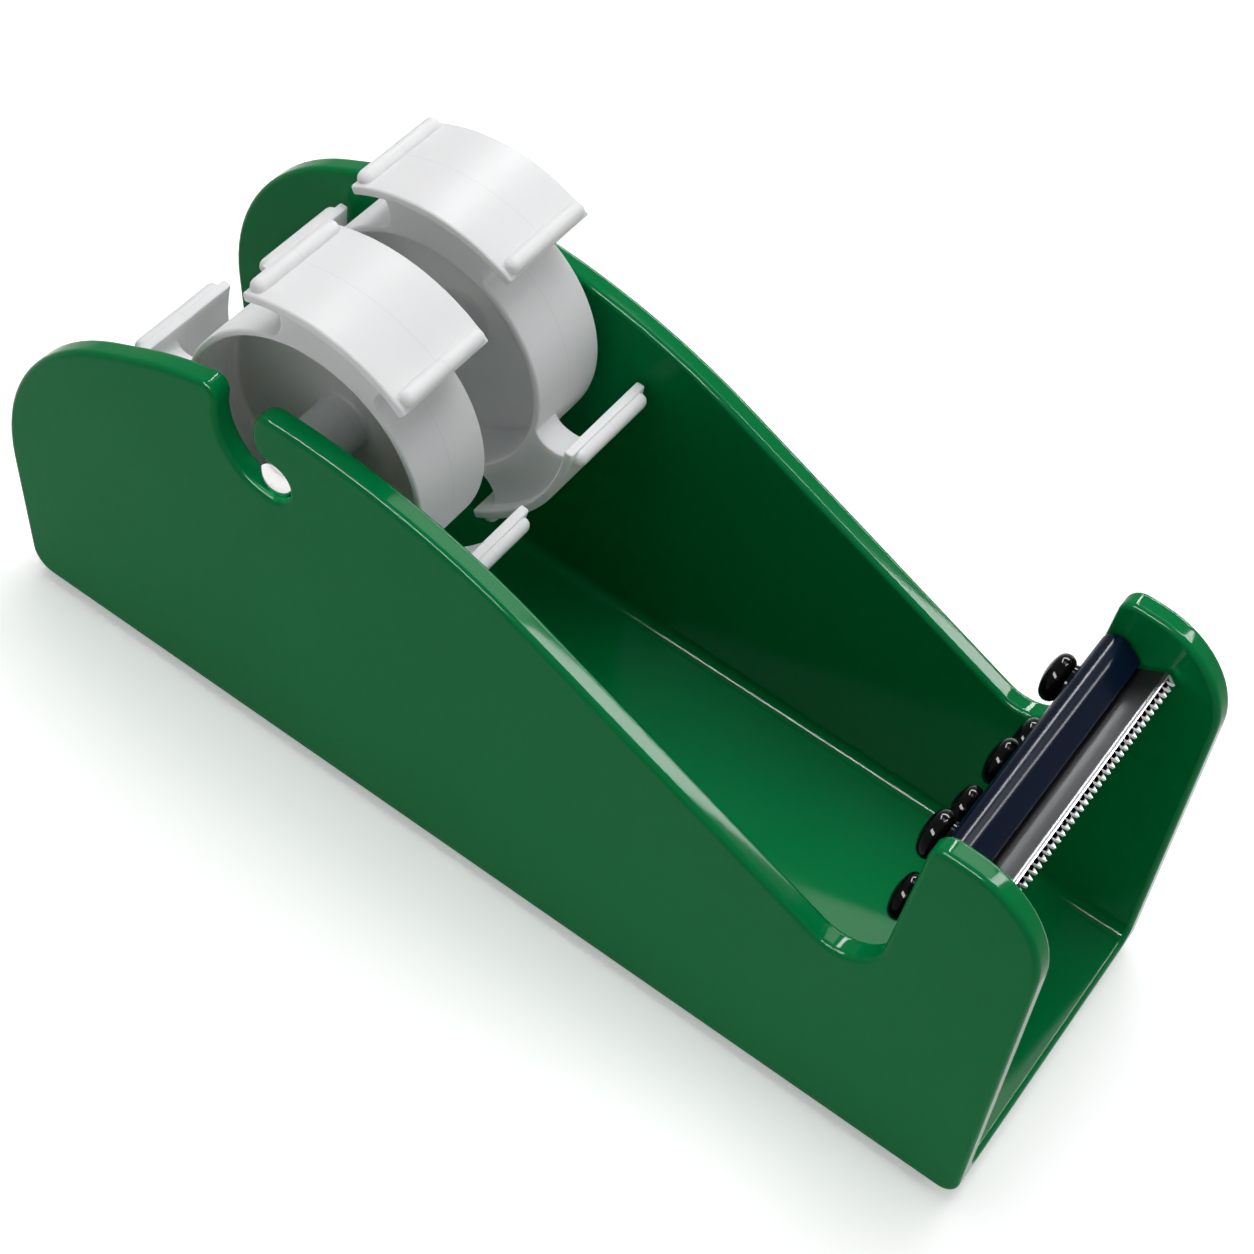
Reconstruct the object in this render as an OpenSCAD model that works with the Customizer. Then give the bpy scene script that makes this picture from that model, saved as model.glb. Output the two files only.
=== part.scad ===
// Desktop tape dispenser: a heavy one-piece body, two tape hubs on a lift-out axle, and a cutter head.
// X runs along the body with the cutter at +X, Y runs across it and Z points up.
// The origin lies on the table, under the middle of the body. Lengths are in millimetres.

/* [Body] */
// Overall length of the body
body_len = 224; // [210:1:260]
// Overall width over both side plates
body_w = 72; // [68:0.5:84]
// Thickness of each side plate
wall_t = 4.8; // [4:0.1:6]
// Thickness of the floor between the side plates
floor_t = 5.5; // [5:0.1:8]
// Radius of the fillet between floor and side plate
floor_fillet_r = 2.6; // [1:0.1:4]

/* [Side outline] */
// Radius of the round rear of the side plate
hump_r = 40; // [37:0.5:42]
// Height of the centre of the round rear, above the underside of the body
hump_h = 36; // [32:0.5:40]
// Radius of the flatter crown over the reels
crown_r = 66; // [60:1:70]
// Height of the crown above the axle
crown_rise = 15.6; // [14.3:0.1:16.8]
// Distance of the crown behind the axle
crown_back = 1.4; // [0:0.1:4]
// Radius of the long brow in front of the axle slot
brow_r = 142; // [120:1:170]
// Height of the brow above the axle
brow_rise = 15.1; // [13.8:0.1:16.3]
// Distance of the highest point of the brow in front of the axle
brow_ahead = 1.9; // [0:0.1:4]
// Radius of the rear bottom corner
heel_r = 5.7; // [3:0.1:8]
// How far the rear bottom corner lies in from the round rear
heel_in = 5.6; // [2:0.1:9]
// Radius of the hollow between slope and front post
valley_r = 8.5; // [6:0.1:10]
// Height of the bottom of that hollow
valley_h = 44.8; // [40:0.1:48]
// Height of the front post
post_h = 85.2; // [83.5:0.1:90]
// Length of the front post, from its rear face to the front of the body
post_len = 30.6; // [29:0.1:34]
// Radius of the rear top corner of the post
post_heel_r = 3.4; // [2:0.1:4]
// Radius of the big round nose of the post
nose_r = 19; // [16:0.5:21]
// How far the nose lies behind the front bottom corner
nose_in = 5.2; // [3:0.1:8]
// Radius of the front bottom corner
toe_r = 3.3; // [2:0.1:5]

/* [Axle slot] */
// Distance from the rear of the body to the axle
axle_in = 60.8; // [58:0.1:64]
// Height of the axle above the centre of the round rear
axle_rise = 31.2; // [29:0.1:33]
// Width of the slot
slot_w = 8; // [7.7:0.1:9]
// Radius of the curved run of the slot, along its middle line
slot_bend_r = 9.2; // [8.4:0.1:10]
// Radius of the rounded rear corner of the mouth
mouth_r = 2.9; // [1.5:0.1:3.5]
// Radius of the rounded tip in front of the mouth
tip_r = 3.8; // [2.5:0.1:4.5]

/* [Axle] */
// Diameter of the axle
axle_d = 7; // [6:0.1:7.4]
// Depth of each axle end inside the outer face of the plate
axle_end_in = 0.4; // [0.2:0.1:1.5]
// Radius of the domed edge of each axle end
axle_dome_r = 2.4; // [1:0.1:2.8]
// Length of the spacer between the hubs
spacer_len = 8.8; // [6:0.1:12]

/* [Hubs] */
// Outer diameter over the ridges, which fit a tape core
core_d = 76; // [74:0.1:77]
// Height of the ridges over the paddle
ridge_h = 2; // [1.2:0.1:2.4]
// Width of a ridge
ridge_w = 3.4; // [2.8:0.1:4]
// Distance of the ridge ends from the sides of the paddle
ridge_in = 0.9; // [0.4:0.1:2]
// Distance of the ridges from the ends of the paddle
ridge_end_in = 0.3; // [0.1:0.1:2]
// Number of paddles on a hub
paddle_count = 3; // [3:1:4]
// Width of a paddle
paddle_w = 24; // [21:0.1:25]
// Thickness of a paddle
paddle_t = 1.9; // [1.5:0.1:2.4]
// Angle that a paddle covers
paddle_span = 59; // [50:1:70]
// Outer diameter of the rim
rim_d = 53; // [48:0.5:56]
// Width of the rim
rim_w = 19; // [17:0.1:21]
// Thickness of the rim
rim_t = 1.5; // [1.2:0.1:2.2]
// Depth of the web inside the near edge of the rim
web_in = 12.2; // [10:0.1:13.5]
// Thickness of the web
web_t = 2.4; // [1.6:0.1:3]
// Diameter of the boss
boss_d = 11; // [10:0.1:14]
// Thickness of the struts that carry the paddles
strut_t = 6.5; // [4:0.1:8]
// Angle that a strut covers
strut_span = 42; // [30:1:46]
// Angle by which a strut widens on each side where it meets rim and paddle
strut_flare_angle = 6; // [2:0.5:7]
// Radius of the rounded outer edges of the hub
hub_edge_r = 0.5; // [0.3:0.05:0.7]
// Radius of the hollow corners between web, rim and boss
hub_root_r = 1; // [0.5:0.1:1.6]
// Angle of the upper paddle of the near hub
near_hub_angle = 83.5; // [60:0.5:110]
// Angle of the upper paddle of the far hub
far_hub_angle = 91.5; // [60:0.5:110]

/* [Cutter head] */
// Thickness of the bent bracket
bracket_t = 2; // [1.5:0.1:2.6]
// Inner radius of the bend of the bracket
bracket_bend_r = 1.1; // [1:0.1:2]
// Height of the top of the bracket
bracket_h = 77.7; // [76.8:0.1:80]
// Height of the lower edge of the bracket
bracket_low = 43.5; // [38:0.1:44.5]
// Downward slope of the lip of the bracket
lip_slope = 38; // [34:1:42]
// Length of the straight part of the lip
lip_len = 4.2; // [3:0.1:5.5]
// Thickness of the cross bar that carries the head
bar_t = 4.8; // [4.4:0.1:8]
// Thickness of the blade
blade_t = 0.8; // [0.5:0.05:0.85]
// Upward slope of the blade in front of the lip
blade_slope = 32; // [28:1:36]
// Length of that sloping part
blade_reach = 5.8; // [4:0.1:7]
// Inner radius of the bends of the blade in front of the lip
blade_bend_r = 0.4; // [0.2:0.1:0.8]
// Downward slope of the toothed edge
tooth_slope = 22; // [15:1:35]
// Length of a tooth
tooth_len = 1.8; // [1.2:0.1:2.4]
// Distance from tooth to tooth
tooth_pitch = 1.65; // [1.4:0.05:2.4]

/* [Screws and caps] */
// Diameter of the bracket screws
screw_d = 3; // [2.5:0.1:3.5]
// Depth to which they enter the cross bar
screw_depth = 3.4; // [2.5:0.1:3.8]
// Diameter of their heads
screw_head_d = 6; // [5.4:0.1:6.2]
// Height of their heads
screw_head_h = 1.6; // [1.2:0.1:1.9]
// Diameter of the domed caps
cap_d = 9.4; // [8.8:0.1:9.8]
// Height of the domed caps
cap_h = 5; // [4.8:0.1:6]
// Radius of the thick round rim of a cap
cap_rim_r = 1.9; // [1.6:0.05:1.95]
// Height of the neck under a cap
cap_neck_h = 0.9; // [0.5:0.1:1.2]
// Diameter of that neck
cap_neck_d = 7.6; // [7.2:0.1:8.2]
// Distance between the two outer columns of screws
outer_pitch = 43.5; // [38:0.1:48]
// Distance between the two middle screws
middle_pitch = 13.2; // [11:0.1:16]
// Distance of the upper row of screws below the top of the bracket
upper_row_in = 8.1; // [7.9:0.1:10]
// Distance of the lower row of screws above the lower edge of the bracket
lower_row_in = 6.7; // [5:0.1:9]

/* [Feet] */
// Height of the body above the table
stand_h = 2.5; // [2:0.1:5]
// Diameter of a foot
foot_d = 12; // [10:0.1:14]
// Depth of the recess that holds a foot
foot_recess = 0.8; // [0.4:0.1:1.2]
// Radius of the rounded lower edge of a foot
foot_edge_r = 0.7; // [0.3:0.1:1.2]
// Distance of the rear foot centres from the rear of the body
foot_rear_in = 18.5; // [18.5:0.5:28]
// Distance of the front foot centres from the front of the body
foot_front_in = 12; // [11:0.5:24]
// Distance of the foot centres from the sides of the body
foot_side_in = 8; // [7.5:0.5:14]

/* [Hidden] */
// Clearance between the ends of turning pieces
run_gap = 0.3;
// Radial clearance of a turning bore and of the axle in its slot
bore_gap = 0.06;
// Clearance between fixed pieces that sit against each other
fit_gap = 0.05;
// Overrun of a cut past the face that it goes through
over = 1;
// Depth to which a joined piece reaches into its neighbour
bite = 0.6;
// Largest distance between a curve and its chords
chord_gap = 0.03;
// Least distance between two points of an outline
least_step = 0.01;
// Chords in a bend of sheet metal and in the side of a strut
bend_steps = 12;
strut_steps = 10;
// Angle between the points round the ends of a strut
strut_step_angle = 3;
// Angles of a full turn, of half a turn and of the upright
full_angle = 360;
half_angle = 180;
upright_angle = 90;
// Facets round a cap and round the section of its rim
cap_facets = 48;
rim_facets = 28;
// Share of the half width of a ridge that its end rounding takes
ridge_end_share = 0.9;
// Share of the tooth pitch that a notch takes at the tips
notch_share = 0.96;
$fn = 64;

inner_w = body_w - 2 * wall_t;
axle_x = axle_in - body_len / 2;
axle_h = hump_h + axle_rise;
crown_h = axle_h + crown_rise;
brow_h = axle_h + brow_rise;
front_x = body_len / 2;
post_x = front_x - post_len;

// Where the axle rests on the lower side of the slot, and the centre round which it rolls out
roll_r = slot_bend_r + (slot_w - axle_d) / 2 - bore_gap;
roll_h = axle_h + roll_r;
seat_h = roll_h - slot_bend_r;

// Hub widths from the room between the plates: plate, hub, spacer, hub, plate
boss_len = (inner_w - spacer_len - 4 * run_gap) / 2;
hub_y = spacer_len / 2 + run_gap + boss_len / 2;
boss_out = (boss_len - rim_w) / 2;
paddle_out = (paddle_w - rim_w) / 2;
ridge_r = core_d / 2;
paddle_r = ridge_r - ridge_h;

// Cutter head, from the rear: flange of the bracket, leg of the blade, cross bar, all under the same bend
flange_x = post_x;
bend_out_r = bracket_bend_r + bracket_t;
bend_x = flange_x + bend_out_r;
bend_h = bracket_h - bend_out_r;
lip_turn = upright_angle + lip_slope;
blade_x = flange_x + bracket_t + fit_gap;
blade_bend_in_r = bracket_bend_r - fit_gap - blade_t;
bar_x = blade_x + blade_t + fit_gap;
bar_front_x = bar_x + bar_t;
bar_corner_r = max(0, blade_bend_in_r - fit_gap);
upper_row_h = bracket_h - upper_row_in;
lower_row_h = bracket_low + lower_row_in;
middle_row_h = (upper_row_h + lower_row_h) / 2;
screw_len = bar_x - flange_x + screw_depth;
foot_h = stand_h + foot_recess - fit_gap;
foot_rear_x = foot_rear_in - front_x;
foot_front_x = front_x - foot_front_in;

function wrap(turn) = turn - full_angle * floor(turn / full_angle);
function heading(c, d) =
    atan2(d[1] - c[1], d[0] - c[0])
    - asin(max(-1, min(1, (c[2] - d[2]) / norm([d[0] - c[0], d[1] - c[1]]))));
function turn_at(a, b, r) = r > 0 ? -wrap(a - b) : wrap(b - a);
function steps_for(turn, r) =
    r == 0 ? 0 : max(2, ceil(abs(turn) / (2 * acos(1 - chord_gap / max(abs(r), chord_gap)))));
function corner_arc(c, a, turn, n) =
    [for (k = [0:n])
        let (t = a + upright_angle + (n == 0 ? 0 : turn * k / n))
        [c[0] + c[2] * cos(t), c[1] + c[2] * sin(t)]];
function spread(pts) =
    [for (i = [0:len(pts) - 1])
        if (norm(pts[i] - pts[(i + len(pts) - 1) % len(pts)]) > least_step) pts[i]];

// Closed outline of straight runs and arcs that wraps clockwise round circles [x, y, radius].
// A circle with a negative radius makes a hollow corner, and one with no radius a sharp one.
function wrapped(circles) =
    let (n = len(circles))
    spread([for (i = [0:n - 1])
        let (
            c = circles[i],
            a = heading(circles[(i + n - 1) % n], c),
            b = heading(c, circles[(i + 1) % n]),
            t = turn_at(a, b, c[2]))
        each corner_arc(c, a, t, steps_for(t, c[2]))]);

// Closed outline through corner points [x, y, radius], each rounded with its own radius
function rounded(corners) =
    let (n = len(corners))
    spread([for (i = [0:n - 1])
        let (
            v = [corners[i][0], corners[i][1]],
            r = corners[i][2],
            p = corners[(i + n - 1) % n],
            q = corners[(i + 1) % n],
            u = ([p[0], p[1]] - v) / norm([p[0], p[1]] - v),
            w = ([q[0], q[1]] - v) / norm([q[0], q[1]] - v),
            half = acos(max(-1, min(1, u * w))) / 2,
            mid = v + (u + w) / norm(u + w) * r / sin(half),
            from = v + u * r / tan(half) - mid,
            to = v + w * r / tan(half) - mid,
            a = atan2(from[1], from[0]),
            t = wrap(atan2(to[1], to[0]) - a + half_angle) - half_angle,
            m = r == 0 ? 0 : steps_for(t, r))
        each [for (k = [0:m])
            r == 0 ? v : mid + r * [cos(a + t * k / m), sin(a + t * k / m)]]]);

// Middle line of a bent strip as [x, y, heading], from steps [straight length, turn, bend radius]
function bent_line(p, h, steps, i = 0) =
    i == len(steps) ? [[p[0], p[1], h]] :
    let (
        s = steps[i],
        q = p + s[0] * [cos(h), sin(h)],
        side = sign(s[1]),
        c = q + side * s[2] * [-sin(h), cos(h)],
        n = s[1] == 0 ? 0 : bend_steps,
        bend = [for (k = [0:max(n - 1, 0)])
            let (g = h + (n == 0 ? 0 : s[1] * k / n))
            concat(n == 0 ? q : c - side * s[2] * [-sin(g), cos(g)], g)],
        g = h + s[1],
        e = n == 0 ? q : c - side * s[2] * [-sin(g), cos(g)])
    concat([[p[0], p[1], h]], bend, bent_line(e, g, steps, i + 1));
function strip(line, t) =
    spread(concat(
        [for (s = line) [s[0], s[1]] + t / 2 * [-sin(s[2]), cos(s[2])]],
        [for (i = [len(line) - 1:-1:0])
            let (s = line[i])
            [s[0], s[1]] - t / 2 * [-sin(s[2]), cos(s[2])]]));

// Extrudes an outline drawn in X and Z across the width w, centred on the middle plane
module across(w) {
    rotate([90, 0, 0])
        linear_extrude(height = w, center = true)
            children();
}

// Turns a shape revolved round Z so that its axis runs along +Y
module along_y() {
    rotate([-90, 0, 0])
        children();
}

function side_circles() =
    let (
        slot_rear_x = axle_x - slot_bend_r - slot_w / 2,
        slot_front_x = axle_x - slot_bend_r + slot_w / 2,
        crown_x = axle_x - crown_back,
        crown_mid_h = crown_h - crown_r,
        mouth_x = slot_rear_x - mouth_r,
        tip_x = slot_front_x + tip_r,
        brow_x = axle_x + brow_ahead)
    [
        [heel_in + heel_r - body_len / 2, heel_r, heel_r],
        [hump_r - body_len / 2, hump_h, hump_r],
        [crown_x, crown_mid_h, crown_r],
        [mouth_x, crown_mid_h + sqrt(pow(crown_r - mouth_r, 2) - pow(mouth_x - crown_x, 2)), mouth_r],
        [slot_rear_x, roll_h, 0],
        [slot_front_x, roll_h, 0],
        [tip_x, brow_h - brow_r + sqrt(pow(brow_r - tip_r, 2) - pow(tip_x - brow_x, 2)), tip_r],
        [brow_x, brow_h - brow_r, brow_r],
        [post_x - valley_r, valley_h + valley_r, -valley_r],
        [post_x + post_heel_r, post_h - post_heel_r, post_heel_r],
        [front_x - nose_in - nose_r, post_h - nose_r, nose_r],
        [front_x - toe_r, toe_r, toe_r]
    ];

// Curved run of the axle slot below its mouth, ending in the round seat
module slot_run() {
    translate([axle_x, roll_h])
        intersection() {
            difference() {
                circle(r = slot_bend_r + slot_w / 2);
                circle(r = slot_bend_r - slot_w / 2);
            }
            translate([-slot_bend_r - slot_w, -slot_bend_r - slot_w])
                square([slot_bend_r + slot_w, slot_bend_r + slot_w]);
        }
    translate([axle_x, seat_h])
        circle(d = slot_w);
}

// Space between the side plates, with filleted bottom corners
module trough() {
    high = post_h + over;
    translate([-front_x - over, 0, 0])
        rotate([90, 0, 90])
            linear_extrude(height = body_len + 2 * over)
                polygon(rounded([
                    [-inner_w / 2, floor_t, floor_fillet_r],
                    [-inner_w / 2, high, 0],
                    [inner_w / 2, high, 0],
                    [inner_w / 2, floor_t, floor_fillet_r]]));
}

// Cross bar between the posts, whose top follows the inside of the bent blade
module head_bar() {
    corner = bar_corner_r;
    slope_h = bend_h + corner * cos(lip_slope) + (bend_x + corner * sin(lip_slope) - bar_x) * tan(lip_slope);
    across(inner_w + 2 * bite)
        polygon(rounded([
            [bar_x, bracket_low, 0],
            [bar_x, slope_h, corner],
            [bar_front_x, slope_h - bar_t * tan(lip_slope), 0],
            [bar_front_x, bracket_low, 0]]));
}

module at_screws() {
    for (side = [-1, 1]) {
        translate([flange_x, side * outer_pitch / 2, upper_row_h])
            rotate([0, 90, 0]) children();
        translate([flange_x, side * middle_pitch / 2, middle_row_h])
            rotate([0, 90, 0]) children();
        translate([flange_x, side * outer_pitch / 2, lower_row_h])
            rotate([0, 90, 0]) children();
    }
}

module at_foot(x, side) {
    translate([x, side * (body_w / 2 - foot_side_in), 0])
        children();
}

module body() {
    color([0.02, 0.38, 0.22])
        translate([0, 0, stand_h])
            difference() {
                union() {
                    difference() {
                        across(body_w)
                            difference() {
                                polygon(wrapped(side_circles()));
                                slot_run();
                            }
                        trough();
                    }
                    head_bar();
                }
                at_screws()
                    cylinder(d = screw_d + 2 * fit_gap, h = screw_len + fit_gap);
                for (x = [foot_rear_x, foot_front_x], side = [-1, 1])
                    at_foot(x, side)
                        translate([0, 0, -over])
                            cylinder(d = foot_d + 2 * fit_gap, h = foot_recess + over);
            }
}

// Rubber disc stuck into a shallow recess of the floor
module foot(x, side) {
    color([0.06, 0.06, 0.07])
        at_foot(x, side)
            rotate_extrude()
                polygon(rounded([
                    [0, foot_h, 0],
                    [foot_d / 2, foot_h, 0],
                    [foot_d / 2, 0, foot_edge_r],
                    [0, 0, 0]]));
}

module axle() {
    half = body_w / 2 - axle_end_in;
    color([0.75, 0.76, 0.78])
        translate([axle_x, 0, stand_h + axle_h])
            along_y()
                rotate_extrude()
                    polygon(rounded([
                        [0, half, 0],
                        [axle_d / 2, half, axle_dome_r],
                        [axle_d / 2, -half, axle_dome_r],
                        [0, -half, 0]]));
}

module axle_spacer() {
    color([0.9, 0.9, 0.91])
        translate([axle_x, 0, stand_h + axle_h])
            along_y()
                difference() {
                    cylinder(d = boss_d, h = spacer_len, center = true);
                    cylinder(d = axle_d + 2 * fit_gap, h = spacer_len + 2 * over, center = true);
                }
}

// Rim, web and boss as one turned section, from the near edge of the rim
module hub_core() {
    bore_r = axle_d / 2 + bore_gap;
    boss_r = boss_d / 2;
    rim_r = rim_d / 2;
    far_web = web_in + web_t;
    rotate_extrude()
        polygon(rounded([
            [bore_r, -boss_out, 0],
            [bore_r, rim_w + boss_out, 0],
            [boss_r, rim_w + boss_out, hub_edge_r],
            [boss_r, far_web, hub_root_r],
            [rim_r - rim_t, far_web, hub_root_r],
            [rim_r - rim_t, rim_w, hub_edge_r],
            [rim_r, rim_w, hub_edge_r],
            [rim_r, 0, hub_edge_r],
            [rim_r - rim_t, 0, hub_edge_r],
            [rim_r - rim_t, web_in, hub_root_r],
            [boss_r, web_in, hub_root_r],
            [boss_r, -boss_out, hub_edge_r]]));
}

// Strut in a plane square to the axle, flared where it meets the rim and the paddle
module strut() {
    inner_r = rim_d / 2 - rim_t / 2;
    outer_r = paddle_r - paddle_t / 2;
    sides = [for (k = [0:strut_steps])
        let (s = k / strut_steps)
        [inner_r + (outer_r - inner_r) * s, strut_span / 2 + strut_flare_angle * pow(abs(2 * s - 1), 3)]];
    n = ceil(strut_span / strut_step_angle);
    top = [for (k = [0:n]) let (a = strut_span / 2 + strut_flare_angle) a - 2 * a * k / n];
    linear_extrude(height = strut_t)
        polygon(spread(concat(
            [for (s = sides) s[0] * [cos(s[1]), sin(s[1])]],
            [for (a = top) outer_r * [cos(a), sin(a)]],
            [for (i = [len(sides) - 1:-1:0]) let (s = sides[i]) s[0] * [cos(-s[1]), sin(-s[1])]],
            [for (i = [n:-1:0]) inner_r * [cos(top[i]), sin(top[i])]])));
}

// Ridge with rounded ends along one end of a paddle
module ridge(angle) {
    half_w = ridge_w / 2;
    low = -paddle_out + ridge_in;
    high = rim_w + paddle_out - ridge_in;
    rotate([0, 0, angle])
        translate([ridge_r - half_w, 0, 0])
            rotate_extrude()
                polygon(rounded([
                    [0, low, 0],
                    [0, high, 0],
                    [half_w, high, half_w * ridge_end_share],
                    [half_w, low, half_w * ridge_end_share]]));
}

module paddle() {
    ridge_angle = paddle_span / 2 - asin((ridge_w / 2 + ridge_end_in) / paddle_r);
    edge_r = paddle_t / 4;
    rotate([0, 0, -paddle_span / 2])
        rotate_extrude(angle = paddle_span)
            polygon(rounded([
                [paddle_r - paddle_t, -paddle_out, edge_r],
                [paddle_r - paddle_t, rim_w + paddle_out, edge_r],
                [paddle_r, rim_w + paddle_out, edge_r],
                [paddle_r, -paddle_out, edge_r]]));
    ridge(ridge_angle);
    ridge(-ridge_angle);
    strut();
}

// Moulded hub, with its paddles turned so that one points at the given angle above +X
module hub(y, turn) {
    color([0.9, 0.91, 0.92])
        translate([axle_x, y - rim_w / 2, stand_h + axle_h])
            along_y()
                union() {
                    hub_core();
                    for (k = [0:paddle_count - 1])
                        rotate([0, 0, -turn - k * full_angle / paddle_count])
                            paddle();
                }
}

// Bent bracket: a flange behind the cross bar, a rolled top and a lip that holds the blade down
module cutter_bracket() {
    color([0.1, 0.12, 0.2])
        translate([0, 0, stand_h])
            difference() {
                across(inner_w - 2 * run_gap)
                    polygon(strip(bent_line(
                        [flange_x + bracket_t / 2, bracket_low],
                        upright_angle,
                        [[bend_h - bracket_low, -lip_turn, bracket_bend_r + bracket_t / 2], [lip_len, 0, 0]]),
                        bracket_t));
                at_screws()
                    translate([0, 0, -over])
                        cylinder(d = screw_d + 2 * fit_gap, h = bracket_t + 2 * over);
            }
}

// Blade: a leg behind the cross bar, a run under the lip, then a rising part folded down into teeth
module blade() {
    half = blade_t / 2;
    line = bent_line(
        [blade_x + half, bracket_low],
        upright_angle,
        [
            [bend_h - bracket_low, -lip_turn, blade_bend_in_r + half],
            [lip_len + fit_gap, lip_slope + blade_slope, blade_bend_r + half],
            [blade_reach, -blade_slope - tooth_slope, blade_bend_r + half],
            [tooth_len, 0, 0]]);
    tip = line[len(line) - 1];
    teeth = floor((inner_w - 2 * run_gap) / tooth_pitch);
    notch_over = tooth_len / 4;
    notch_w = notch_share * tooth_pitch * (tooth_len + notch_over) / tooth_len;
    color([0.6, 0.61, 0.63])
        translate([0, 0, stand_h])
            difference() {
                across(teeth * tooth_pitch)
                    polygon(strip(line, blade_t));
                translate([tip[0], 0, tip[1]])
                    rotate([0, tooth_slope, 0])
                        linear_extrude(height = 4 * blade_t, center = true)
                            for (k = [0:teeth])
                                translate([0, (k - teeth / 2) * tooth_pitch])
                                    polygon([
                                        [-tooth_len, 0],
                                        [notch_over, notch_w / 2],
                                        [notch_over, -notch_w / 2]]);
                at_screws()
                    cylinder(d = screw_d + 2 * fit_gap, h = screw_len);
            }
}

module bracket_screws() {
    color([0.7, 0.7, 0.72])
        translate([0, 0, stand_h])
            at_screws()
                union() {
                    translate([0, 0, -screw_head_h])
                        cylinder(d = screw_head_d, h = screw_head_h - fit_gap);
                    translate([0, 0, -screw_head_h / 2])
                        cylinder(d = screw_d, h = screw_len + screw_head_h / 2 - fit_gap);
                }
}

// Half section of a cap: a neck, a thick round rim and a shallow dome that runs into it
module cap_section() {
    rim_x = cap_d / 2 - cap_rim_r;
    rim_z = cap_neck_h + cap_rim_r;
    rise = cap_h - rim_z;
    dome_r = (rim_x * rim_x + rise * rise - cap_rim_r * cap_rim_r) / (2 * (rise - cap_rim_r));
    dome_x = rim_x * dome_r / (dome_r - cap_rim_r);
    difference() {
        union() {
            square([cap_neck_d / 2, 2 * cap_neck_h]);
            translate([rim_x, rim_z])
                circle(r = cap_rim_r, $fn = rim_facets);
            intersection() {
                translate([0, cap_h - dome_r])
                    circle(r = dome_r);
                union() {
                    translate([0, cap_neck_h])
                        square([rim_x, cap_h]);
                    translate([0, rim_z])
                        square([dome_x, cap_h]);
                }
            }
        }
        translate([-over, -over])
            square([screw_head_d / 2 + fit_gap + over, screw_head_h + fit_gap + over]);
    }
}

// Domed caps that snap over the screw heads
module screw_caps() {
    color([0.05, 0.05, 0.06])
        translate([0, 0, stand_h])
            at_screws()
                rotate([180, 0, 0])
                    translate([0, 0, fit_gap])
                        rotate_extrude($fn = cap_facets)
                            cap_section();
}

body();
foot(foot_rear_x, -1);  // foot_rear_near
foot(foot_rear_x, 1);  // foot_rear_far
foot(foot_front_x, -1);  // foot_front_near
foot(foot_front_x, 1);  // foot_front_far
axle();
axle_spacer();
hub(-hub_y, near_hub_angle);  // hub_near
hub(hub_y, far_hub_angle);  // hub_far
cutter_bracket();
blade();
bracket_screws();
screw_caps();
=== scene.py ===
"""Looks of a desktop tape dispenser, built round its packed construction model."""
import math

import bmesh
import bpy
from mathutils import Matrix, Vector


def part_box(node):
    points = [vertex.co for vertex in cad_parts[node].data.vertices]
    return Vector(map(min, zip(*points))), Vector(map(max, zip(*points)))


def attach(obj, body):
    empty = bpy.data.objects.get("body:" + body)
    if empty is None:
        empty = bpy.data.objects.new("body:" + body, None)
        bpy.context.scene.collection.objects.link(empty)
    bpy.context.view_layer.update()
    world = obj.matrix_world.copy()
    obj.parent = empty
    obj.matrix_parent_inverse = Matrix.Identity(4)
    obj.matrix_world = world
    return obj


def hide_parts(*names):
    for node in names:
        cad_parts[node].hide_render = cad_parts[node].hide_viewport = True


bl_info = {
    "name": "Tape dispenser looks",
    "version": (1, 0, 0),
    "blender": (4, 5, 0),
    "location": "View3D > Sidebar > Dispenser",
    "description": "Finishes, rounded edges and studio for a desktop tape dispenser",
    "category": "Object",
}

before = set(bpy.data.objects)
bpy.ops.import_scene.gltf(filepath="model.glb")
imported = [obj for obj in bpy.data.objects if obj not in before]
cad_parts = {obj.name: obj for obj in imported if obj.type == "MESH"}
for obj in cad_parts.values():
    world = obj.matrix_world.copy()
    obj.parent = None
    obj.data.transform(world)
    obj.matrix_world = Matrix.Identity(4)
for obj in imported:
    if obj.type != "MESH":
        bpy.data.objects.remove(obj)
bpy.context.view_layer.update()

MM = 0.001
WELD_GAP = 0.002 * MM
FLAT_ANGLE = math.radians(0.6)
SHARP_ANGLE = math.radians(48)
SQUARE_ANGLE = math.radians(60)
CREASE_ANGLE = math.radians(40)
OUTER_FACE_GAP = 0.1 * MM
INNER_FACE_GAP = 0.2 * MM
BASE_HEIGHT = 2 * MM
END_REACH = 6 * MM
GROUND_BORDER = 0.15 * MM
PARTING_WIDTH = 0.14 * MM
PIT_RADIUS_SHARE = 0.6
PIT_DEPTH_SHARE = 0.6
PIT_SHOULDER_SHARE = 0.35
AXLE_STEPS = 96
CAP_STEPS = 64
FLOOR_HALF = 4.0
FLOOR_GREY = 0.78
FLOOR_GLOW = 0.31
NOISE_RANGE = (0.3, 0.7)
FEET = ["foot_rear_near", "foot_rear_far", "foot_front_near", "foot_front_far"]
HUBS = {"hub_near": "near_reel", "hub_far": "far_reel"}


def middle(node):
    """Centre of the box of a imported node."""
    low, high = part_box(node)
    return (low + high) / 2


def size(node):
    """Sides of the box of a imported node."""
    low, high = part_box(node)
    return high - low


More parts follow.
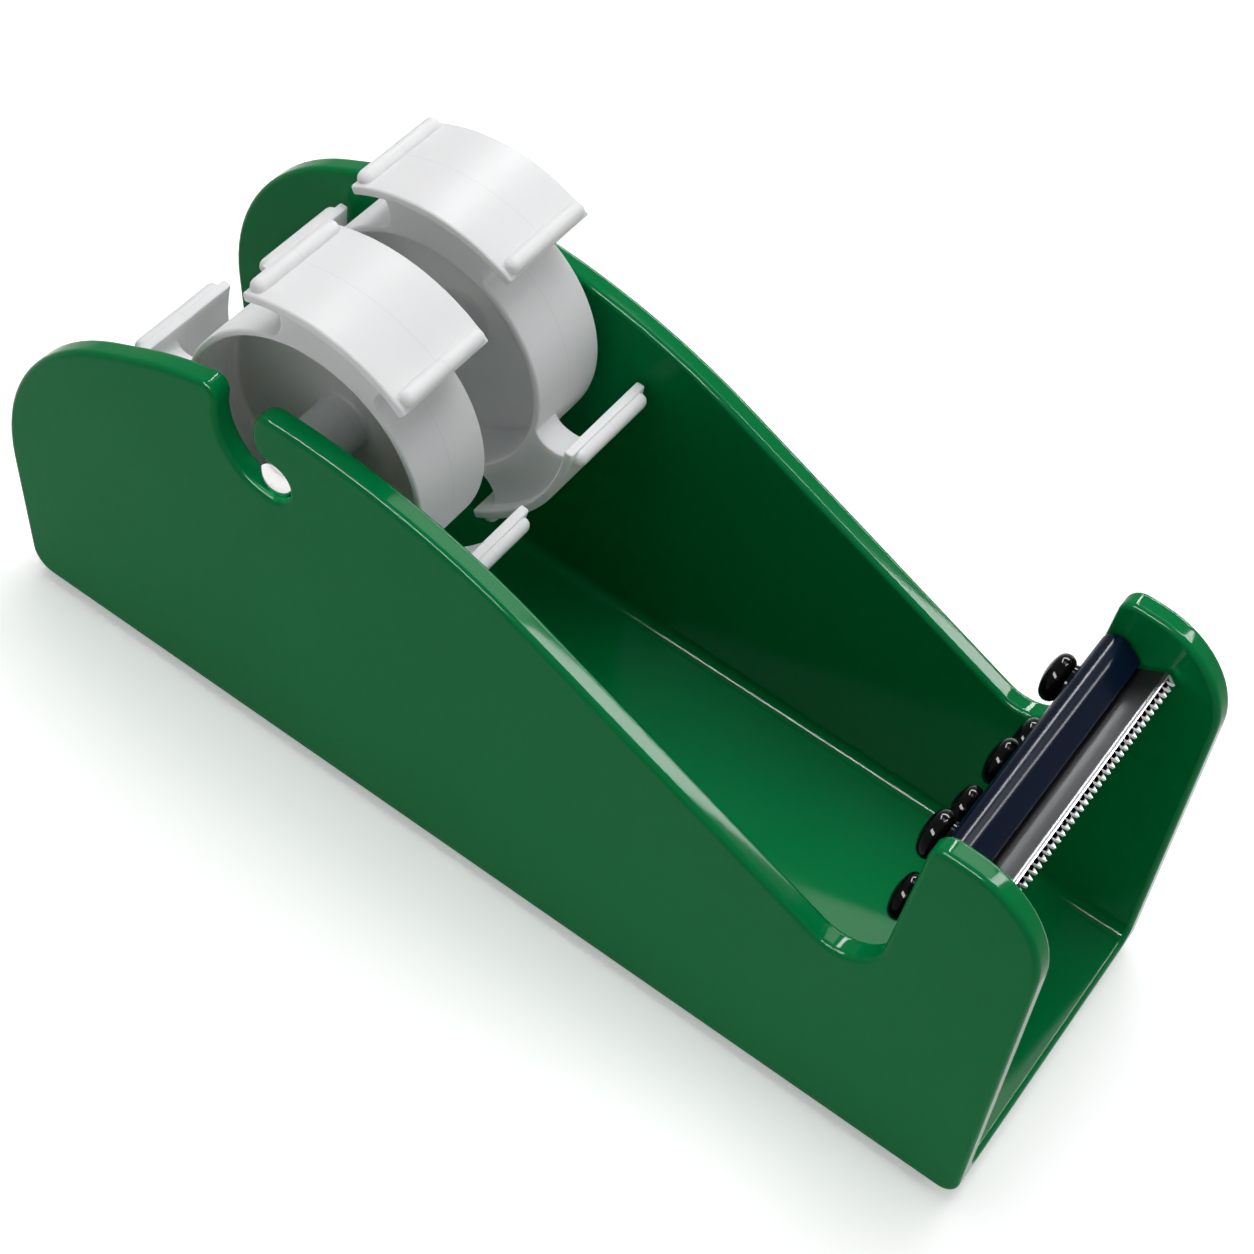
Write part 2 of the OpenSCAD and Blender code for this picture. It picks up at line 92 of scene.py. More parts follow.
class DispenserSizes(bpy.types.PropertyGroup):
    """Small sizes of the finish, which the construction model leaves out."""

    panel_round: bpy.props.FloatProperty(
        name="Panel edge radius", description="Rounding along the edges of the side plates",
        default=1.2 * MM, min=0.2 * MM, max=2.2 * MM, unit="LENGTH")
    hub_round: bpy.props.FloatProperty(
        name="Hub edge radius", description="Rounding along the moulded edges of the hubs",
        default=0.28 * MM, min=0.05 * MM, max=0.6 * MM, unit="LENGTH")
    sheet_round: bpy.props.FloatProperty(
        name="Bracket edge radius", description="Rounding along the cut edges of the bracket",
        default=0.6 * MM, min=0.05 * MM, max=0.8 * MM, unit="LENGTH")
    blade_round: bpy.props.FloatProperty(
        name="Blade edge radius", description="Rounding along the ground edges of the blade",
        default=0.07 * MM, min=0.01 * MM, max=0.2 * MM, unit="LENGTH")
    tooth_reach: bpy.props.FloatProperty(
        name="Ground edge", description="Reach of the bright ground teeth behind their tips",
        default=1.98 * MM, min=0.5 * MM, max=4 * MM, unit="LENGTH")
    spacer_round: bpy.props.FloatProperty(
        name="Spacer edge radius", description="Rounding along the edges of the spacer",
        default=0.5 * MM, min=0.05 * MM, max=1 * MM, unit="LENGTH")
    axle_dome: bpy.props.FloatProperty(
        name="Axle dome", description="Height of the domed end of the axle",
        default=1.0 * MM, min=0.2 * MM, max=3 * MM, unit="LENGTH")
    centre_mark: bpy.props.FloatProperty(
        name="Centre mark", description="Radius of the centre mark in the end of the axle",
        default=0.28 * MM, min=0, max=1 * MM, unit="LENGTH")
    cap_rim: bpy.props.FloatProperty(
        name="Cap rim radius", description="Radius of the thick round rim of a cap",
        default=1.9 * MM, min=1 * MM, max=2.4 * MM, unit="LENGTH")
    cap_neck: bpy.props.FloatProperty(
        name="Cap neck height", description="Height of the neck under a cap",
        default=0.65 * MM, min=0.2 * MM, max=2 * MM, unit="LENGTH")
    cap_neck_width: bpy.props.FloatProperty(
        name="Cap neck width", description="Diameter of the neck under a cap",
        default=7.6 * MM, min=4 * MM, max=9 * MM, unit="LENGTH")


class DispenserColours(bpy.types.PropertyGroup):
    """Colours of the finishes."""

    enamel: bpy.props.FloatVectorProperty(
        name="Enamel", description="Green enamel of the body", subtype="COLOR",
        size=3, min=0, max=1, default=(0.0, 0.194, 0.05))
    hub: bpy.props.FloatVectorProperty(
        name="Hubs", description="White plastic of the hubs", subtype="COLOR",
        size=3, min=0, max=1, default=(0.8, 0.805, 0.812))
    bracket: bpy.props.FloatVectorProperty(
        name="Bracket", description="Navy enamel of the bracket", subtype="COLOR",
        size=3, min=0, max=1, default=(0.003, 0.008, 0.022))
    blade: bpy.props.FloatVectorProperty(
        name="Blade", description="Dark spring steel of the blade", subtype="COLOR",
        size=3, min=0, max=1, default=(0.05, 0.051, 0.053))
    ground: bpy.props.FloatVectorProperty(
        name="Ground steel", description="Bright steel of the ground teeth and of the screws",
        subtype="COLOR", size=3, min=0, max=1, default=(0.42, 0.42, 0.43))
    polished: bpy.props.FloatVectorProperty(
        name="Axle", description="Polished steel of the axle", subtype="COLOR",
        size=3, min=0, max=1, default=(0.74, 0.73, 0.72))
    cap: bpy.props.FloatVectorProperty(
        name="Caps", description="Black plastic of the caps", subtype="COLOR",
        size=3, min=0, max=1, default=(0.003, 0.003, 0.0035))
    rubber: bpy.props.FloatVectorProperty(
        name="Feet", description="Black rubber of the feet", subtype="COLOR",
        size=3, min=0, max=1, default=(0.012, 0.012, 0.012))


class DispenserStudio(bpy.types.PropertyGroup):
    """Camera and light."""

    view_from: bpy.props.FloatVectorProperty(
        name="Camera place", description="Where the camera stands", subtype="XYZ",
        size=3, default=(0.12608, -0.29303, 0.43204))
    view_at: bpy.props.FloatVectorProperty(
        name="Camera target", description="Point that the camera looks at", subtype="XYZ",
        size=3, default=(0.00658, -0.00028, 0.04474))
    view_roll: bpy.props.FloatProperty(
        name="Camera roll", description="Turn of the camera round its own line of sight",
        default=math.radians(15.7), subtype="ANGLE")
    lens: bpy.props.FloatProperty(
        name="Lens", description="Focal length in millimetres on a 36 mm sensor", default=77.54)
    fill: bpy.props.FloatProperty(
        name="Fill light", description="Strength of the surroundings on the object", default=0.28)


def settings():
    """The add-on's sizes, colours and studio values."""
    scene = bpy.context.scene
    return scene.dispenser_sizes, scene.dispenser_colours, scene.dispenser_studio


# Node groups that the finishes share

def new_group(name, inputs, outputs):
    """An empty shader group with named sockets, and its input and output nodes."""
    tree = bpy.data.node_groups.new(name, "ShaderNodeTree")
    for label, kind, value in inputs:
        socket = tree.interface.new_socket(label, in_out="INPUT", socket_type=kind)
        if value is not None:
            socket.default_value = value
    for label, kind in outputs:
        tree.interface.new_socket(label, in_out="OUTPUT", socket_type=kind)
    return tree, tree.nodes.new("NodeGroupInput"), tree.nodes.new("NodeGroupOutput")


def math_node(tree, operation, *values, clamp=False):
    """A math node whose inputs are sockets or numbers. Returns its output."""
    node = tree.nodes.new("ShaderNodeMath")
    node.operation = operation
    node.use_clamp = clamp
    for socket, value in zip(node.inputs, values):
        if isinstance(value, bpy.types.NodeSocket):
            tree.links.new(value, socket)
        else:
            socket.default_value = value
    return node.outputs["Value"]


def noise(tree, vector, scale, detail=3.0, roughness=0.5):
    """A noise texture on the given coordinates. Returns its value."""
    node = tree.nodes.new("ShaderNodeTexNoise")
    node.inputs["Detail"].default_value = detail
    node.inputs["Roughness"].default_value = roughness
    tree.links.new(vector, node.inputs["Vector"])
    if isinstance(scale, bpy.types.NodeSocket):
        tree.links.new(scale, node.inputs["Scale"])
    else:
        node.inputs["Scale"].default_value = scale
    return node.outputs["Fac"]


def remap(tree, value, low, high):
    """Maps the middle of a noise to the range from low to high. Returns the value."""
    node = tree.nodes.new("ShaderNodeMapRange")
    node.inputs["From Min"].default_value, node.inputs["From Max"].default_value = NOISE_RANGE
    tree.links.new(value, node.inputs["Value"])
    for label, limit in (("To Min", low), ("To Max", high)):
        if isinstance(limit, bpy.types.NodeSocket):
            tree.links.new(limit, node.inputs[label])
        else:
            node.inputs[label].default_value = limit
    return node.outputs["Result"]


def tint(tree, colour, factor):
    """Multiplies a colour by a value. Returns the colour."""
    node = tree.nodes.new("ShaderNodeVectorMath")
    node.operation = "SCALE"
    tree.links.new(colour, node.inputs[0])
    tree.links.new(factor, node.inputs["Scale"])
    return node.outputs["Vector"]


def mottle_group():
    """Slow change of depth in a colour, as in paint or plastic that has set unevenly."""
    tree, given, result = new_group(
        "mottled colour",
        [("Vector", "NodeSocketVector", None), ("Color", "NodeSocketColor", None),
         ("Scale", "NodeSocketFloat", 30.0), ("Depth", "NodeSocketFloat", 0.05)],
        [("Color", "NodeSocketColor")])
    low = math_node(tree, "SUBTRACT", 1.0, given.outputs["Depth"])
    high = math_node(tree, "ADD", 1.0, given.outputs["Depth"])
    patches = remap(tree, noise(tree, given.outputs["Vector"], given.outputs["Scale"]), low, high)
    tree.links.new(tint(tree, given.outputs["Color"], patches), result.inputs["Color"])
    return tree


def handling_group():
    """Roughness that wanders between two values, with fine marks left by handling."""
    tree, given, result = new_group(
        "handled gloss",
        [("Vector", "NodeSocketVector", None), ("Least", "NodeSocketFloat", 0.1),
         ("Most", "NodeSocketFloat", 0.2), ("Scale", "NodeSocketFloat", 40.0)],
        [("Roughness", "NodeSocketFloat")])
    broad = noise(tree, given.outputs["Vector"], given.outputs["Scale"], 2.0)
    fine_scale = math_node(tree, "MULTIPLY", given.outputs["Scale"], 14.0)
    fine = noise(tree, given.outputs["Vector"], fine_scale, 4.0, 0.6)
    mixed = math_node(tree, "MULTIPLY_ADD", fine, 0.3, math_node(tree, "MULTIPLY", broad, 0.7))
    tree.links.new(
        remap(tree, mixed, given.outputs["Least"], given.outputs["Most"]), result.inputs["Roughness"])
    return tree


def relief_group():
    """Fine relief of a surface: a soft wave with a finer grain on it."""
    tree, given, result = new_group(
        "fine relief",
        [("Vector", "NodeSocketVector", None), ("Wave Scale", "NodeSocketFloat", 400.0),
         ("Grain Scale", "NodeSocketFloat", 4000.0), ("Grain Share", "NodeSocketFloat", 0.3)],
        [("Height", "NodeSocketFloat")])
    wave = noise(tree, given.outputs["Vector"], given.outputs["Wave Scale"], 1.0)
    grain = noise(tree, given.outputs["Vector"], given.outputs["Grain Scale"], 2.0)
    height = math_node(tree, "MULTIPLY_ADD", grain, given.outputs["Grain Share"], wave)
    tree.links.new(height, result.inputs["Height"])
    return tree


def brushed_group():
    """Streaks of brushed or ground steel, long along the Vector's X after its Mapping."""
    tree, given, result = new_group(
        "brushed streaks",
        [("Vector", "NodeSocketVector", None), ("Color", "NodeSocketColor", None),
         ("Depth", "NodeSocketFloat", 0.1), ("Least", "NodeSocketFloat", 0.2),
         ("Most", "NodeSocketFloat", 0.35)],
        [("Color", "NodeSocketColor"), ("Roughness", "NodeSocketFloat"), ("Height", "NodeSocketFloat")])
    coarse = noise(tree, given.outputs["Vector"], 1.0, 4.0, 0.6)
    fine = noise(tree, given.outputs["Vector"], 4.0, 4.0, 0.7)
    streaks = math_node(tree, "MULTIPLY_ADD", fine, 0.5, math_node(tree, "MULTIPLY", coarse, 0.5))
    low = math_node(tree, "SUBTRACT", 1.0, given.outputs["Depth"])
    high = math_node(tree, "ADD", 1.0, given.outputs["Depth"])
    tree.links.new(
        tint(tree, given.outputs["Color"], remap(tree, streaks, low, high)), result.inputs["Color"])
    tree.links.new(
        remap(tree, streaks, given.outputs["Least"], given.outputs["Most"]), result.inputs["Roughness"])
    tree.links.new(streaks, result.inputs["Height"])
    return tree


def edge_group():
    """Everything in front of a plane across X, with a soft border, such as a ground edge."""
    tree, given, result = new_group(
        "ground edge",
        [("Vector", "NodeSocketVector", None), ("Place", "NodeSocketFloat", 0.0),
         ("Width", "NodeSocketFloat", 0.0002)],
        [("Mask", "NodeSocketFloat")])
    split = tree.nodes.new("ShaderNodeSeparateXYZ")
    tree.links.new(given.outputs["Vector"], split.inputs["Vector"])
    past = math_node(tree, "SUBTRACT", split.outputs["X"], given.outputs["Place"])
    tree.links.new(
        math_node(tree, "DIVIDE", past, given.outputs["Width"], clamp=True), result.inputs["Mask"])
    return tree


def line_group():
    """A narrow line in a plane across Y, such as the parting line of a mould."""
    tree, given, result = new_group(
        "mould line",
        [("Vector", "NodeSocketVector", None), ("Place", "NodeSocketFloat", 0.0),
         ("Width", "NodeSocketFloat", 0.0002)],
        [("Mask", "NodeSocketFloat")])
    split = tree.nodes.new("ShaderNodeSeparateXYZ")
    tree.links.new(given.outputs["Vector"], split.inputs["Vector"])
    away = math_node(
        tree, "ABSOLUTE", math_node(tree, "SUBTRACT", split.outputs["Y"], given.outputs["Place"]))
    share = math_node(tree, "DIVIDE", away, given.outputs["Width"])
    tree.links.new(math_node(tree, "SUBTRACT", 1.0, share, clamp=True), result.inputs["Mask"])
    return tree


GROUPS = {}


def shared(name):
    """The shared node group of that name, made on first use."""
    makers = {
        "mottle": mottle_group, "handling": handling_group, "relief": relief_group,
        "brushed": brushed_group, "line": line_group, "edge": edge_group}
    if name not in GROUPS:
        GROUPS[name] = makers[name]()
    return GROUPS[name]


class Finish:
    """A material under construction, with its principled shader and object coordinates."""

    def __init__(self, name, stretch=None):
        self.material = bpy.data.materials.new(name)
        self.material.use_nodes = True
        self.tree = self.material.node_tree
        self.shader = self.tree.nodes["Principled BSDF"]
        place = self.tree.nodes.new("ShaderNodeTexCoord").outputs["Object"]
        if stretch is not None:
            mapping = self.tree.nodes.new("ShaderNodeMapping")
            mapping.inputs["Scale"].default_value = stretch
            self.link(place, mapping.inputs["Vector"])
            place = mapping.outputs["Vector"]
        self.place = place

    def link(self, source, target):
        self.tree.links.new(source, target)

    def set(self, **values):
        """Sets values that are the same all over on the shader itself."""
        for label, value in values.items():
            self.shader.inputs[label.replace("_", " ")].default_value = value

    def add(self, name, **values):
        """Places a shared group with its own values. Returns the node."""
        node = self.tree.nodes.new("ShaderNodeGroup")
        node.node_tree = shared(name)
        self.link(self.place, node.inputs["Vector"])
        for label, value in values.items():
            node.inputs[label.replace("_", " ")].default_value = value
        return node

    def bump(self, height, strength, distance):
        """Feeds a height into the shader's normal."""
        node = self.tree.nodes.new("ShaderNodeBump")
        node.inputs["Strength"].default_value = strength
        node.inputs["Distance"].default_value = distance
        self.link(height, node.inputs["Height"])
        self.link(node.outputs["Normal"], self.shader.inputs["Normal"])

    def colour(self, socket):
        self.link(socket, self.shader.inputs["Base Color"])

    def roughness(self, socket):
        self.link(socket, self.shader.inputs["Roughness"])


def opaque(colour):
    return (*colour, 1.0)


def enamel_finish(name, colour, least, most, wave, gloss):
    """Glossy stoved enamel with a faint orange peel."""
    finish = Finish(name)
    finish.set(IOR=1.5, Specular_IOR_Level=gloss)
    mottled = finish.add("mottle", Color=opaque(colour), Scale=22.0, Depth=0.035)
    finish.colour(mottled.outputs["Color"])
    handled = finish.add("handling", Least=least, Most=most, Scale=30.0)
    finish.roughness(handled.outputs["Roughness"])
    relief = finish.add("relief", Wave_Scale=wave, Grain_Scale=3000.0, Grain_Share=0.03)
    finish.bump(relief.outputs["Height"], 0.015, 0.08 * MM)
    return finish.material


def hub_finish(name, colour, line_place):
    """Moulded white plastic with a faint parting line round its middle."""
    finish = Finish(name)
    finish.set(IOR=1.49, Specular_IOR_Level=0.035, Subsurface_Weight=0.6, Subsurface_Scale=4 * MM)
    finish.shader.inputs["Subsurface Radius"].default_value = (1.0, 0.9, 0.8)
    mottled = finish.add("mottle", Color=opaque(colour), Scale=60.0, Depth=0.006)
    line = finish.add("line", Place=line_place, Width=PARTING_WIDTH)
    shade = math_node(finish.tree, "MULTIPLY_ADD", line.outputs["Mask"], -0.1, 1.0)
    finish.colour(tint(finish.tree, mottled.outputs["Color"], shade))
    finish.roughness(finish.add("handling", Least=0.34, Most=0.4, Scale=60.0).outputs["Roughness"])
    relief = finish.add("relief", Wave_Scale=700.0, Grain_Scale=6000.0, Grain_Share=0.4)
    height = math_node(
        finish.tree, "MULTIPLY_ADD", line.outputs["Mask"], 3.0, relief.outputs["Height"])
    finish.bump(height, 0.04, 0.02 * MM)
    return finish.material


def plain_plastic_finish(name, colour, least, most, gloss):
    """Moulded plastic with a fine grain."""
    finish = Finish(name)
    finish.set(IOR=1.5, Specular_IOR_Level=gloss)
    mottled = finish.add("mottle", Color=opaque(colour), Scale=90.0, Depth=0.05)
    finish.colour(mottled.outputs["Color"])
    handled = finish.add("handling", Least=least, Most=most, Scale=120.0)
    finish.roughness(handled.outputs["Roughness"])
    relief = finish.add("relief", Wave_Scale=900.0, Grain_Scale=7000.0, Grain_Share=0.4)
    finish.bump(relief.outputs["Height"], 0.08, 0.02 * MM)
    return finish.material


def steel_finish(name, colour, stretch, depth, least, most, strength):
    """Steel with streaks that run along the axis that is stretched least."""
    finish = Finish(name, stretch)
    finish.set(Metallic=1.0)
    streaks = finish.add("brushed", Color=opaque(colour), Depth=depth, Least=least, Most=most)
    finish.colour(streaks.outputs["Color"])
    finish.roughness(streaks.outputs["Roughness"])
    finish.bump(streaks.outputs["Height"], strength, 0.01 * MM)
    return finish.material


def blade_finish(name, dark, bright, edge_place):
    """Dark brushed spring steel with bright ground teeth in front of the fold."""
    finish = Finish(name, (6000, 60, 6000))
    finish.set(Metallic=1.0)
    body = finish.add("brushed", Color=opaque(dark), Depth=0.16, Least=0.28, Most=0.34)
    teeth = finish.add("brushed", Color=opaque(bright), Depth=0.1, Least=0.38, Most=0.48)
    edge = finish.add("edge", Place=edge_place, Width=GROUND_BORDER)
    finish.link(finish.tree.nodes["Texture Coordinate"].outputs["Object"], edge.inputs["Vector"])
    for label, target, mixed, kind in (
            ("Color", "Base Color", "RGBA", "RGBA"), ("Roughness", "Roughness", "FLOAT", "VALUE")):
        mix = finish.tree.nodes.new("ShaderNodeMix")
        mix.data_type = mixed
        first, second = [end for end in mix.inputs if end.type == kind and end.name in ("A", "B")]
        out, = [end for end in mix.outputs if end.type == kind]
        finish.link(edge.outputs["Mask"], mix.inputs[0])
        finish.link(body.outputs[label], first)
        finish.link(teeth.outputs[label], second)
        finish.link(out, finish.shader.inputs[target])
    finish.bump(body.outputs["Height"], 0.03, 0.01 * MM)
    return finish.material


def rubber_finish(name, colour):
    """Matt black rubber with a coarse grain."""
    finish = Finish(name)
    finish.set(IOR=1.5, Specular_IOR_Level=0.35)
    mottled = finish.add("mottle", Color=opaque(colour), Scale=200.0, Depth=0.2)
    finish.colour(mottled.outputs["Color"])
    handled = finish.add("handling", Least=0.6, Most=0.8, Scale=200.0)
    finish.roughness(handled.outputs["Roughness"])
    relief = finish.add("relief", Wave_Scale=2500.0, Grain_Scale=9000.0, Grain_Share=0.7)
    finish.bump(relief.outputs["Height"], 0.3, 0.05 * MM)
    return finish.material


# Meshes

def welded(node):
    """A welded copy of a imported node, with its flat faces joined up again."""
    work = bmesh.new()
    work.from_mesh(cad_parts[node].data)
    bmesh.ops.remove_doubles(work, verts=work.verts, dist=WELD_GAP)
    bmesh.ops.dissolve_limit(
        work, angle_limit=FLAT_ANGLE, verts=work.verts, edges=work.edges,
        use_dissolve_boundaries=False)
    return work


def sharp_edges(work, wanted=None, least=SHARP_ANGLE):
    """Outer edges of a mesh that are sharper than an angle and that pass a test on their two ends."""
    found = []
    for edge in work.edges:
        if not edge.is_manifold or edge.calc_face_angle_signed(0) < least:
            continue
        if wanted is None or wanted(edge.verts[0].co, edge.verts[1].co):
            found.append(edge)
    return found


def round_edges(work, edges, radius, segments):
    """Rounds the given edges."""
    bmesh.ops.bevel(
        work, geom=edges, offset=radius, offset_type="OFFSET", segments=segments, profile=0.5,
        affect="EDGES", material=-1, clamp_overlap=False, loop_slide=True)


def turned(profile, steps, axis, origin):
    """A solid of revolution from a profile of [radius, place along the axis], closed at the axis."""
    work = bmesh.new()
    across = axis.orthogonal().normalized()
    points = [work.verts.new(origin + across * r + axis * along) for r, along in profile]
    edges = [work.edges.new(pair) for pair in zip(points, points[1:])]
    bmesh.ops.spin(
        work, geom=points + edges, cent=origin, axis=axis, angle=2 * math.pi, steps=steps,
        use_merge=True, use_duplicate=False)
    bmesh.ops.remove_doubles(work, verts=work.verts, dist=WELD_GAP)
    bmesh.ops.recalc_face_normals(work, faces=work.faces)
    return work


def arc(cx, cy, radius, start, end, steps):
    """Points along an arc, from one angle in degrees to another."""
    return [
        (cx + radius * math.cos(math.radians(start + (end - start) * k / steps)),
         cy + radius * math.sin(math.radians(start + (end - start) * k / steps)))
        for k in range(steps + 1)]


def finished(name, work, material, body, nodes):
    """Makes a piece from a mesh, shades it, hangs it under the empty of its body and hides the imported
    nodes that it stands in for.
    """
    mesh = bpy.data.meshes.new(name)
    work.to_mesh(mesh)
    work.free()
    mesh.materials.append(material)
    mesh.shade_smooth()
    mesh.set_sharp_from_angle(angle=CREASE_ANGLE)
    piece = bpy.data.objects.new(name, mesh)
    bpy.context.scene.collection.objects.link(piece)
    normals = piece.modifiers.new("flat faces", "WEIGHTED_NORMAL")
    normals.keep_sharp = True
    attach(piece, body)
    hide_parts(*nodes)


class DISPENSER_OT_body(bpy.types.Operator):
    """Enamelled body with the rounded edges of its side plates"""

    bl_idname = "dispenser.body"
    bl_label = "Body"

    def execute(self, context):
        sizes, colours, _ = settings()
        low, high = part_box("body")
        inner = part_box("cutter_bracket")[1].y
        work = welded("body")

        def on_outline(a, b):
            across = min(abs(a.y), abs(b.y))
            above = min(a.z, b.z) > low.z + BASE_HEIGHT
            at_end = min(abs(a.x), abs(b.x)) > high.x - END_REACH
            on_wall = across > inner - INNER_FACE_GAP
            return across > high.y - OUTER_FACE_GAP or (above and (on_wall or at_end))

        round_edges(work, sharp_edges(work, on_outline), sizes.panel_round, 6)
        enamel = enamel_finish("green enamel", colours.enamel, 0.06, 0.1, 260.0, 0.045)
        finished("body_shell", work, enamel, "stand", ["body"])
        return {"FINISHED"}


class DISPENSER_OT_feet(bpy.types.Operator):
    """Rubber feet under the corners of the body"""

    bl_idname = "dispenser.feet"
    bl_label = "Feet"

    def execute(self, context):
        _, colours, _ = settings()
        rubber = rubber_finish("foot rubber", colours.rubber)
        for node in FEET:
            finished(node + "_pad", welded(node), rubber, "stand", [node])
        return {"FINISHED"}


class DISPENSER_OT_axle(bpy.types.Operator):
    """Polished axle with domed ends and a centre mark in each"""

    bl_idname = "dispenser.axle"
    bl_label = "Axle"

    def execute(self, context):
        sizes, colours, _ = settings()
        sides = size("axle")
        radius, half = sides.x / 2, sides.y / 2
        dome, mark = sizes.axle_dome, sizes.centre_mark
        ball = (radius * radius + dome * dome) / (2 * dome)
        edge = math.degrees(math.asin((ball - dome) / ball))
        start = math.degrees(math.acos(mark / ball))
        cap = arc(0, half - ball, ball, start, edge, 14)
        rim_place = cap[0][1]
        pit = [(0, rim_place - PIT_DEPTH_SHARE * mark),
               (PIT_RADIUS_SHARE * mark, rim_place - PIT_SHOULDER_SHARE * mark)]
        end = pit + cap
        profile = end + [(r, -along) for r, along in reversed(end)]
        work = turned(profile, AXLE_STEPS, Vector((0, 1, 0)), middle("axle"))
        steel = steel_finish("polished steel", colours.polished, (900, 40, 900), 0.03, 0.05, 0.12, 0.04)
        finished("axle_bar", work, steel, "axle_set", ["axle"])
        return {"FINISHED"}


class DISPENSER_OT_spacer(bpy.types.Operator):
    """Plastic spacer between the hubs"""

    bl_idname = "dispenser.spacer"
    bl_label = "Spacer"

    def execute(self, context):
        sizes, colours, _ = settings()
        work = welded("axle_spacer")
        round_edges(work, sharp_edges(work), sizes.spacer_round, 3)
        plastic = plain_plastic_finish("spacer plastic", colours.hub, 0.3, 0.42, 0.35)
        finished("hub_spacer", work, plastic, "axle_set", ["axle_spacer"])
        return {"FINISHED"}


class DISPENSER_OT_hubs(bpy.types.Operator):
    """Moulded tape hubs with three paddles each"""

    bl_idname = "dispenser.hubs"
    bl_label = "Hubs"

    def execute(self, context):
        sizes, colours, _ = settings()
        for node, body in HUBS.items():
            work = welded(node)
            round_edges(work, sharp_edges(work, least=SQUARE_ANGLE), sizes.hub_round, 2)
            plastic = hub_finish(node + " plastic", colours.hub, middle(node).y)
            finished(node + "_moulding", work, plastic, body, [node])
        return {"FINISHED"}


class DISPENSER_OT_bracket(bpy.types.Operator):
    """Bent bracket that clamps the blade"""

    bl_idname = "dispenser.bracket"
    bl_label = "Bracket"

    def execute(self, context):
        sizes, colours, _ = settings()
        work = welded("cutter_bracket")
        round_edges(work, sharp_edges(work), sizes.sheet_round, 4)
        enamel = enamel_finish("navy enamel", colours.bracket, 0.15, 0.2, 500.0, 0.04)
        finished("blade_clamp", work, enamel, "stand", ["cutter_bracket"])
        return {"FINISHED"}


class DISPENSER_OT_blade(bpy.types.Operator):
    """Toothed steel blade"""

    bl_idname = "dispenser.blade"
    bl_label = "Blade"

    def execute(self, context):
        sizes, colours, _ = settings()
        work = welded("blade")
        round_edges(work, sharp_edges(work, least=SQUARE_ANGLE), sizes.blade_round, 2)
        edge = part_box("blade")[1].x - sizes.tooth_reach
        steel = blade_finish("blade steel", colours.blade, colours.ground, edge)
        finished("toothed_blade", work, steel, "stand", ["blade"])
        return {"FINISHED"}


class DISPENSER_OT_screws(bpy.types.Operator):
    """Screws that hold bracket and blade"""

    bl_idname = "dispenser.screws"
    bl_label = "Screws"

    def execute(self, context):
        _, colours, _ = settings()
        work = welded("bracket_screws")
        steel = steel_finish("screw steel", colours.ground, (3000, 3000, 3000), 0.08, 0.25, 0.35, 0.1)
        finished("clamp_screws", work, steel, "stand", ["bracket_screws"])
        return {"FINISHED"}


def solid_middles(node):
    """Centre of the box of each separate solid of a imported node."""
    work = welded(node)
    left = set(work.verts)
    found = []
    while left:
        queue = [left.pop()]
        low, high = queue[0].co.copy(), queue[0].co.copy()
        while queue:
            vert = queue.pop()
            for k in range(3):
                low[k] = min(low[k], vert.co[k])
                high[k] = max(high[k], vert.co[k])
            for edge in vert.link_edges:
                other = edge.other_vert(vert)
                if other in left:
                    left.remove(other)
                    queue.append(other)
        found.append((low + high) / 2)
    work.free()
    return sorted(found, key=lambda c: (round(c.z, 4), c.y))


class DISPENSER_OT_caps(bpy.types.Operator):
    """Glossy caps over the screw heads"""

    bl_idname = "dispenser.caps"
    bl_label = "Caps"

    def execute(self, context):
        sizes, colours, _ = settings()
        places = solid_middles("screw_caps")
        low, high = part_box("screw_caps")
        radius = (high.z - low.z - (places[-1].z - places[0].z)) / 2
        height = high.x - low.x
        rim, neck = sizes.cap_rim, sizes.cap_neck
        rim_x, rim_z = radius - rim, neck + rim
        rise = height - rim_z
        dome = (rim_x ** 2 + rise ** 2 - rim ** 2) / (2 * (rise - rim))
        meet = math.degrees(math.asin((dome - height + rim_z) / (dome - rim)))
        profile = arc(0, height - dome, dome, 90, meet, 8)
        profile += arc(rim_x, rim_z, rim, meet, -90, 22)[1:]
        profile += [(sizes.cap_neck_width / 2, neck), (sizes.cap_neck_width / 2, 0), (0, 0)]
        caps = bmesh.new()
        for place in places:
            seat = Vector((high.x, place.y, place.z))
            one = turned(profile, CAP_STEPS, Vector((-1, 0, 0)), seat)
            mesh = bpy.data.meshes.new("cap")
            one.to_mesh(mesh)
            one.free()
            caps.from_mesh(mesh)
            bpy.data.meshes.remove(mesh)
        plastic = plain_plastic_finish("cap plastic", colours.cap, 0.05, 0.08, 0.05)
        finished("screw_cap_set", caps, plastic, "stand", ["screw_caps"])
        return {"FINISHED"}


# Studio

def lamp(place, aim, sides, power):
    """A rectangular lamp: its place, the point it faces, its sides in metres and its power in watts."""
    return {"place": place, "aim": aim, "sides": sides, "power": power}


# Lamps that light the surfaces and show in no reflection
LIGHTS = {
    "overhead": lamp((-0.16, 0.24, 1.12), (0, 0, 0.04), (0.9, 0.7), 8.5),
    "front_fill": lamp((-0.5, -0.9, 0.8), (0, 0, 0.04), (0.7, 0.7), 0.4),
    "front_end": lamp((1.0, 0.1, 0.75), (0, 0, 0.05), (0.5, 0.5), 1.4),
}
